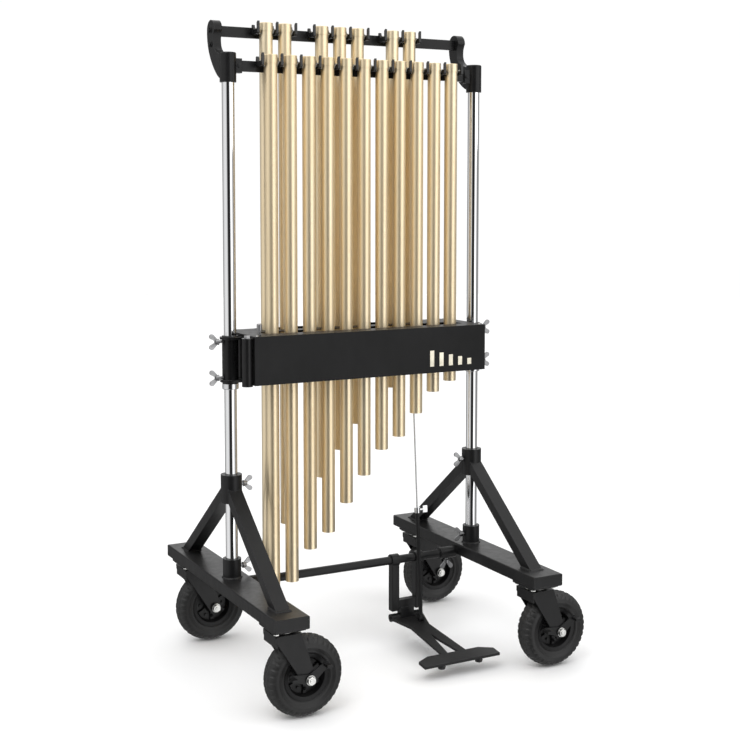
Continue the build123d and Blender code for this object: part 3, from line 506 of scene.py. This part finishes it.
for spot in SPOTS:
    low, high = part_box(spot + "_tyre")
    centre = (low + high) / 2
    radius = (high.z - low.z) / 2
    half = (high.y - low.y) / 2
    rim_low, rim_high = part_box(spot + "_rim")
    seat = (rim_high.z - rim_low.z) / 2 - 0.005
    half_profile = [p for p in tyre_profile(radius, seat, half) if p[0] > seat + 0.0008]
    section = half_profile + [(r, -y, k) for r, y, k in reversed(half_profile[:-1])]
    bead_r, bead_y = section[0][0] - 0.0002, section[0][1] * 0.8
    inner = [(bead_r, -bead_y, -1), (seat + 0.0012, 0.0, -1), (bead_r, bead_y, -1)]
    mesh = bmesh.new()
    loops = []
    for r, y, k in section + inner:
        loop = []
        for j in range(TYRE_STEPS):
            angle = 2 * math.pi * j / TYRE_STEPS
            cut_r = r - tread_cut(k, j, y)
            point = Vector((cut_r * math.cos(angle), y, cut_r * math.sin(angle)))
            loop.append(mesh.verts.new(centre + point))
        loops.append(loop)
    loft(mesh, loops, closed=True)
    tyre = piece(spot + "_tyre_tread", mesh, spot + "_wheel", "tyre_rubber", 28.0)
    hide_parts(spot + "_tyre")

    # six pressed ribs on each side of the rim
    mesh = bmesh.new()
    for side in (-1, 1):
        for k in range(6):
            angle = math.pi / 6 + k * math.pi / 3
            spoke = Vector((math.cos(angle), 0, math.sin(angle)))
            across = Vector((-math.sin(angle), 0, math.cos(angle)))
            shape = []
            for distance, width, lift in RIB_STATIONS:
                base = centre + spoke * distance
                row = []
                for w, h in ((-1, 0.0035), (-0.62, lift), (0.62, lift), (1, 0.0035)):
                    point = base + across * w * width + Vector((0, side * h, 0))
                    row.append(mesh.verts.new(point))
                shape.append(row)
            for a, b in zip(shape, shape[1:]):
                for m in range(3):
                    mesh.faces.new((a[m], a[m + 1], b[m + 1], b[m]))
            for row in (shape[0], shape[-1]):
                mesh.faces.new(row)
            foot = [row[0] for row in shape] + [row[3] for row in reversed(shape)]
            mesh.faces.new(foot)
    piece(spot + "_rim_ribs", mesh, spot + "_wheel", "rim_steel")

    # the hub bolts between the ribs, and the valve
    mesh = bmesh.new()
    for side in (-1, 1):
        for k in range(6):
            angle = k * math.pi / 3
            spoke = Vector((math.cos(angle), 0, math.sin(angle)))
            base = centre + BOLT_CIRCLE * spoke + Vector((0, side * 0.0038, 0))
            hexagon(mesh, frame_at(base, (0, side, 0)), 0.008, 0.0045)
    valve = centre + Vector((0.0, -0.0055, -0.041))
    lathe(mesh, VALVE, frame_at(valve, (0, -0.8, 0.6)), 16)
    piece(spot + "_rim_bolts", mesh, spot + "_wheel", "rim_steel")

    # plated axle nuts with their washers and bolt ends
    fork_low, fork_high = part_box(spot + "_fork")
    mesh = bmesh.new()
    for face, side in ((fork_low.y + NUT_HEIGHT, -1), (fork_high.y - NUT_HEIGHT, 1)):
        place = frame_at((centre.x, face, centre.z), (0, side, 0))
        lathe(mesh, WASHER, place, 40)
        hexagon(mesh, place, 0.0208, NUT_HEIGHT + 0.0001)
        thread = [(0.0, NUT_HEIGHT)]
        for turn in range(3):
            z = NUT_HEIGHT + turn * 0.0009
            thread += [(0.0056, z), (0.0061, z + 0.00045)]
        thread += [(0.0054, 0.0112), (0.0, 0.0115)]
        lathe(mesh, thread, place, 32)
    piece(spot + "_axle_nuts", mesh, spot + "_caster", "zinc_bolt")

    # the seal of the swivel's race
    mesh = bmesh.new()
    ring_at = (centre.x - RACE_OFFSET, (fork_low.y + fork_high.y) / 2, fork_high.z)
    lathe(mesh, RACE_SEAL, frame_at(ring_at, UP), 64)
    piece(spot + "_race_seal", mesh, spot + "_caster", "zinc_bolt")


# ---- Damper box: emblem, screws and folded lips --------------------------------------------------
front_low, front_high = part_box("box_front")
rear_low, rear_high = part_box("box_rear")
deck_low, deck_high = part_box("box_deck")

# the emblem: five upright bars of falling length
mesh = bmesh.new()
bar_width = 0.0135
emblem_x = front_high.x - 0.19
emblem_z = front_low.z + 0.019
for k in range(5):
    x = emblem_x + k * 0.032
    top = emblem_z + 0.047 - 0.0072 * k
    slab(
        mesh,
        (x, front_low.y - 0.0009, emblem_z),
        (x + bar_width, front_low.y + 0.0004, top),
        0.0004,
    )
piece("box_emblem_bars", mesh, "damper_box", "emblem_cream")

# screws on the rear panel, the two ends and the deck
mesh = bmesh.new()
for x in (rear_low.x + 0.02, -0.12, 0.12, rear_high.x - 0.02):
    for z in (rear_low.z + 0.014, rear_high.z - 0.016):
        pan_head(mesh, frame_at((x, rear_high.y - SUNK, z), (0, 1, 0)), 0.0045, 0.0026)
for side in (-1, 1):
    for y in (-0.09, 0.075):
        for z in (front_low.z + 0.02, front_high.z - 0.02):
            if side > 0 or y > 0:
                x = side * (front_high.x - SUNK)
                pan_head(mesh, frame_at((x, y, z), (side, 0, 0)), 0.0045, 0.0026)
for x in (deck_low.x + 0.012, deck_high.x - 0.012):
    for y in (deck_low.y + 0.012, deck_high.y - 0.012):
        pan_head(mesh, frame_at((x, y, deck_high.z - SUNK), UP), 0.004, 0.0022)
piece("box_screws", mesh, "damper_box", "zinc_bolt")

# folded lips under the two panels; the rear one is narrow, clear of the swinging tubes
mesh = bmesh.new()
lips = (
    (front_low, front_high, front_low.y + 0.0005, front_low.y + 0.014),
    (rear_low, rear_high, rear_high.y - 0.0045, rear_high.y - 0.0005),
)
for low, high, near, far in lips:
    slab(mesh, (low.x + 0.001, near, low.z + SUNK), (high.x - 0.001, far, low.z + 0.0022), 0.0008)
piece("box_folded_lips", mesh, "damper_box", "sheet_black")


# ---- Hook screws at the back of the rails --------------------------------------------------------
hook_low, hook_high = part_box("hooks")
hook_width = 0.007
pitch = (hook_high.x - hook_low.x - hook_width) / 11
mesh = bmesh.new()
for rail, heads, start in (("front_rail", 12, 0.0), ("rear_rail", 10, 0.5)):
    rail_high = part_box(rail)[1]
    for k in range(heads):
        x = hook_low.x + hook_width / 2 + (k + start) * pitch
        place = frame_at((x, rail_high.y - SUNK, rail_high.z - 0.012), (0, 1, 0))
        pan_head(mesh, place, 0.0042, 0.0026)
piece("rail_screws", mesh, "upper_frame", "zinc_bolt")


# ---- Damper frame: steel bars with a soft felt strip in front of each row ------------------------
damper_low, damper_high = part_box("damper_frame")
damper_z = (damper_low.z + damper_high.z) / 2
chime_boxes = [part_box(name) for name in chimes]
front_row = [box for box in chime_boxes if box[0].y < 0]
back_row = [box for box in chime_boxes if box[0].y > 0]
cap_lip = 0.0012  # how far a tube's cap stands out round it
pad_depth = 0.008
pad_points = 20
bar_thick = 0.004
bars = bmesh.new()
pads = bmesh.new()
for row in (front_row, back_row):
    tube_face = min(low.y for low, _ in row) + cap_lip
    left = min(low.x for low, _ in row) + cap_lip
    right = max(high.x for _, high in row) - cap_lip
    pad_back = tube_face - 0.0005
    bar_y = pad_back - pad_depth
    slab(
        bars,
        (damper_low.x, bar_y - bar_thick, damper_low.z),
        (damper_high.x, bar_y, damper_high.z),
        0.0006,
    )
    steps = 2 * int((right - left) / 0.006)
    rings = []
    for k in range(steps + 1):
        x = left + (right - left) * k / steps
        ring = []
        for m in range(pad_points):
            angle = 2 * math.pi * (m + 0.5) / pad_points
            across = max(-1.0, min(1.0, 1.35 * math.cos(angle)))
            up = max(-1.0, min(1.0, 1.25 * math.sin(angle)))
            fuzz = 0.00022 * math.sin(k * 2.3 + m * 1.7) + 0.00016 * math.sin(k * 5.1 - m * 3.1)
            y = pad_back - pad_depth / 2 + across * (0.00365 + fuzz)
            z = damper_z + up * (0.0125 + fuzz)
            ring.append(pads.verts.new((x, y, z)))
        rings.append(ring)
    loft(pads, rings)
for x in (damper_low.x, damper_high.x - bar_thick):
    slab(
        bars,
        (x, damper_low.y, damper_low.z),
        (x + bar_thick, damper_high.y, damper_high.z),
        0.0006,
    )
felts = piece("damper_felts", pads, "damper_frame", "damper_felt", 60.0)
arms = piece("damper_bars", bars, "damper_frame", "rail_black")
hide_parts("damper_frame")


# ---- Cords: three twisted strands from hook to hook through each tube's holes --------------------
NOTCH_SHIFT = 0.0022    # two neighbouring cords lie this far to either side of a notch's middle
OVER_NOTCH = 0.0045     # a cord's end reaches this far past the notch
TWIST_LENGTH = 0.011
STRAND_OFFSET = 0.00068
STRAND_RADIUS = 0.00082


def smooth_path(points):
    """Points along a quadratic NURBS curve from the first point to the last."""
    route = bpy.data.curves.new("route", "CURVE")
    route.dimensions = "3D"
    route.resolution_u = 24
    spline = route.splines.new("NURBS")
    spline.points.add(len(points) - 1)
    for point, place in zip(spline.points, points):
        point.co = (*place, 1)
    spline.order_u = 3
    spline.use_endpoint_u = True
    holder = bpy.data.objects.new("route", route)
    collection.objects.link(holder)
    line = bpy.data.meshes.new_from_object(holder)
    path = [v.co.copy() for v in line.vertices]
    bpy.data.objects.remove(holder)
    bpy.data.meshes.remove(line)
    return path


strands = bmesh.new()
for low, high in chime_boxes:
    x = (low.x + high.x) / 2
    y = (low.y + high.y) / 2
    notch_z = high.z - 0.017
    hole_z = high.z - 0.034
    knee = (high.x - low.x) / 2 + 0.0003
    path = smooth_path(
        (
            (x - pitch / 2 - OVER_NOTCH, y - NOTCH_SHIFT, notch_z),
            (x - pitch / 2 + OVER_NOTCH, y - NOTCH_SHIFT, notch_z),
            (x - knee, y, hole_z),
            (x + knee, y, hole_z),
            (x + pitch / 2 - OVER_NOTCH, y + NOTCH_SHIFT, notch_z),
            (x + pitch / 2 + OVER_NOTCH, y + NOTCH_SHIFT, notch_z),
        )
    )
    gone = [0.0]
    for a, b in zip(path, path[1:]):
        gone.append(gone[-1] + (b - a).length)
    for strand in range(3):
        rings = []
        for k, place in enumerate(path):
            along = (path[min(k + 1, len(path) - 1)] - path[max(k - 1, 0)]).normalized()
            side = along.cross(Vector((0, 1, 0))).normalized()
            other = along.cross(side)
            twist = 2 * math.pi * (gone[k] / TWIST_LENGTH + strand / 3)
            centre = place + (side * math.cos(twist) + other * math.sin(twist)) * STRAND_OFFSET
            ring = []
            for m in range(8):
                angle = 2 * math.pi * m / 8
                outward = side * math.cos(angle) + other * math.sin(angle)
                ring.append(strands.verts.new(centre + outward * STRAND_RADIUS))
            rings.append(ring)
        loft(strands, rings)
cords = piece("cord_strands", strands, "upper_frame", "cord_nylon", 70.0)
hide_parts("cords")


# ---- Pedal: ribbed rubber boots over the two stops -----------------------------------------------
BOOT = [
    (0.0, 0.0), (0.0122, 0.0), (0.0122, 0.0018), (0.0112, 0.0024), (0.0112, 0.0042), (0.0117, 0.0048),
    (0.0117, 0.0066), (0.0107, 0.0072), (0.0107, 0.0105), (0.0098, 0.0118), (0.0, 0.0122),
]
pedal_low, pedal_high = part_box("pedal")
mesh = bmesh.new()
tread_middle = (pedal_low.x + pedal_high.x) / 2
for side in (-1, 1):
    start = (tread_middle + side * 0.062, pedal_low.y + 0.0155, pedal_low.z + 0.0128)
    lathe(mesh, BOOT, frame_at(start, (0, 0, -1)), 48)
piece("pedal_rubber_boots", mesh, "pedal", "tyre_rubber", 40.0)


# ---- Camera, floor and light ---------------------------------------------------------------------
AZIMUTH = math.radians(27.93)
TILT = math.radians(-4.54)
camera_data = bpy.data.cameras.new("camera")
camera_data.lens = 63.68
camera_data.sensor_width = 36.0
camera_data.shift_y = -0.10
camera = bpy.data.objects.new("camera", camera_data)
camera.location = (-1.7567, -3.3948, 1.3752)
camera.rotation_euler = (math.pi / 2 + TILT, 0, -AZIMUTH)
collection.objects.link(camera)
bpy.context.scene.camera = camera

floor_mesh = bmesh.new()
bmesh.ops.create_circle(floor_mesh, cap_ends=True, segments=96, radius=14.0)
floor_data = bpy.data.meshes.new("floor")
floor_mesh.to_mesh(floor_data)
floor_mesh.free()
floor = bpy.data.objects.new("floor", floor_data)
floor.location.z = -0.0005
floor.visible_glossy = False
collection.objects.link(floor)
pale = (0.93, 0.93, 0.93)
ground = Shade("studio_floor", pale, 0.0, 0.6, Specular_IOR_Level=0.1)
clouds = ground.noise((1, 1, 1), 1.5, 2.0)
ground.colour(ground.ramp(clouds, (0.3, pale), (0.8, (0.92, 0.92, 0.92))))
floor_data.materials.append(ground.material)

# The studio round the object: softboxes and dark flags as bands by azimuth, under a pale ceiling.
# The camera sees it as plain white.
world = bpy.data.worlds.new("studio")
bpy.context.scene.world = world
world.use_nodes = True
tree = world.node_tree
tree.nodes.clear()


def add(kind, settings=(), **inputs):
    """A node of the world's tree with its settings and its input values."""
    node = tree.nodes.new("ShaderNode" + kind)
    for setting, value in settings:
        setattr(node, setting, value)
    for socket, value in inputs.items():
        node.inputs[socket.replace("_", " ")].default_value = value
    return node


coordinates = add("TexCoord")
turn = add("Mapping", [("vector_type", "POINT")], Rotation=(0, 0, AZIMUTH))
split = add("SeparateXYZ")
arc = add("Math", [("operation", "ARCTAN2")])
back = add("Math", [("operation", "MULTIPLY")])
back.inputs[1].default_value = -1.0
fold = add("MapRange", From_Min=-math.pi, From_Max=math.pi)
bands = add("ValToRGB")
# (place, brightness) from behind the object, round by the left, the camera at 0.5 and the right
stops = (
    (0.0, 1.2), (0.025, 1.2), (0.05, 0.1), (0.10, 0.06), (0.14, 0.35), (0.21, 0.66), (0.30, 0.9),
    (0.40, 0.86), (0.43, 0.45), (0.455, 0.02), (0.555, 0.02), (0.585, 0.5), (0.612, 2.0), (0.65, 2.0),
    (0.69, 0.75), (0.74, 0.26), (0.79, 0.2), (0.84, 0.45), (0.90, 0.3), (0.95, 0.2), (0.98, 1.1),
    (1.0, 1.2),
)
elements = bands.color_ramp.elements
while len(elements) < len(stops):
    elements.new(0.5)
for element, (position, level) in zip(elements, stops):
    element.position = position
    element.color = (level, level, level, 1)
above = add("MapRange", From_Min=0.35, From_Max=0.75)
overhead = add("Mix", [("data_type", "RGBA")])
overhead.inputs[MIX_B].default_value = (1.45, 1.45, 1.45, 1)
lit = add("Background")
plain = add("Background", Color=(1, 1, 1, 1), Strength=1.02)
choose = add("MixShader")
rays = add("LightPath")
output = add("OutputWorld")
for source, target in (
    (coordinates.outputs["Generated"], turn.inputs["Vector"]),
    (turn.outputs["Vector"], split.inputs[0]),
    (split.outputs["Y"], back.inputs[0]),
    (split.outputs["X"], arc.inputs[0]),
    (back.outputs[0], arc.inputs[1]),
    (arc.outputs[0], fold.inputs["Value"]),
    (fold.outputs["Result"], bands.inputs["Fac"]),
    (split.outputs["Z"], above.inputs["Value"]),
    (above.outputs["Result"], overhead.inputs["Factor"]),
    (bands.outputs["Color"], overhead.inputs[MIX_A]),
    (overhead.outputs[MIX_RESULT], lit.inputs["Color"]),
    (rays.outputs["Is Camera Ray"], choose.inputs["Fac"]),
    (lit.outputs[0], choose.inputs[1]),
    (plain.outputs[0], choose.inputs[2]),
    (choose.outputs[0], output.inputs["Surface"]),
):
    tree.links.new(source, target)


def area(name, place, aim, size, power):
    """A soft rectangular light at place that points at aim and that the camera doesn't see."""
    data = bpy.data.lights.new(name, "AREA")
    data.shape = "RECTANGLE"
    data.size, data.size_y = size
    data.energy = power
    obj = bpy.data.objects.new(name, data)
    obj.location = place
    obj.rotation_euler = (Vector(aim) - Vector(place)).to_track_quat("-Z", "Y").to_euler()
    obj.visible_camera = False
    collection.objects.link(obj)


area("key", (-2.6, -2.2, 4.2), (0, 0, 0.6), (2.6, 2.6), 60)
area("fill", (3.4, -2.4, 3.0), (0, 0, 0.9), (2.0, 3.0), 28)

bpy.context.scene.view_settings.view_transform = "Standard"
bpy.context.scene.view_settings.look = "None"
